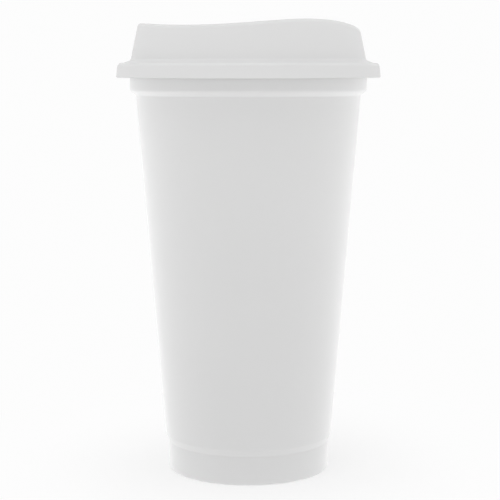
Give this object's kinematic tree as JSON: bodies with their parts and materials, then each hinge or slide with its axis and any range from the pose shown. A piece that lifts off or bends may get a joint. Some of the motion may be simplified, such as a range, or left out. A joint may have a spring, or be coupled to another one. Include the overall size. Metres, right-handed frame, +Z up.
{
  "type": "reusable plastic coffee cup with lid",
  "caption": "Tall tapered plastic cup for hot drinks, with a stepped foot, a stacking collar, a hooked rim and a press-on lid with a wavy drinking lip.",
  "frame": {"origin": "centre of the cup's foot, on the surface that it stands on", "axes": "+Z up along the cup's axis, +X towards the lid's drinking edge"},
  "size_m": [0.0946, 0.0946, 0.1622],
  "materials": {
    "cup_plastic": "white polypropylene with a fine satin mould texture",
    "lid_plastic": "white polypropylene, satin, slightly smoother than the cup"
  },
  "bodies": {
    "cup": {"cup": "cup_plastic"},
    "lid": {"lid": "lid_plastic"}
  },
  "joints": [
    {"name": "lid_lift", "type": "slide", "parent": "cup", "child": "lid", "axis": [0, 0, 1], "range_m": [0, 0.11]}
  ]
}
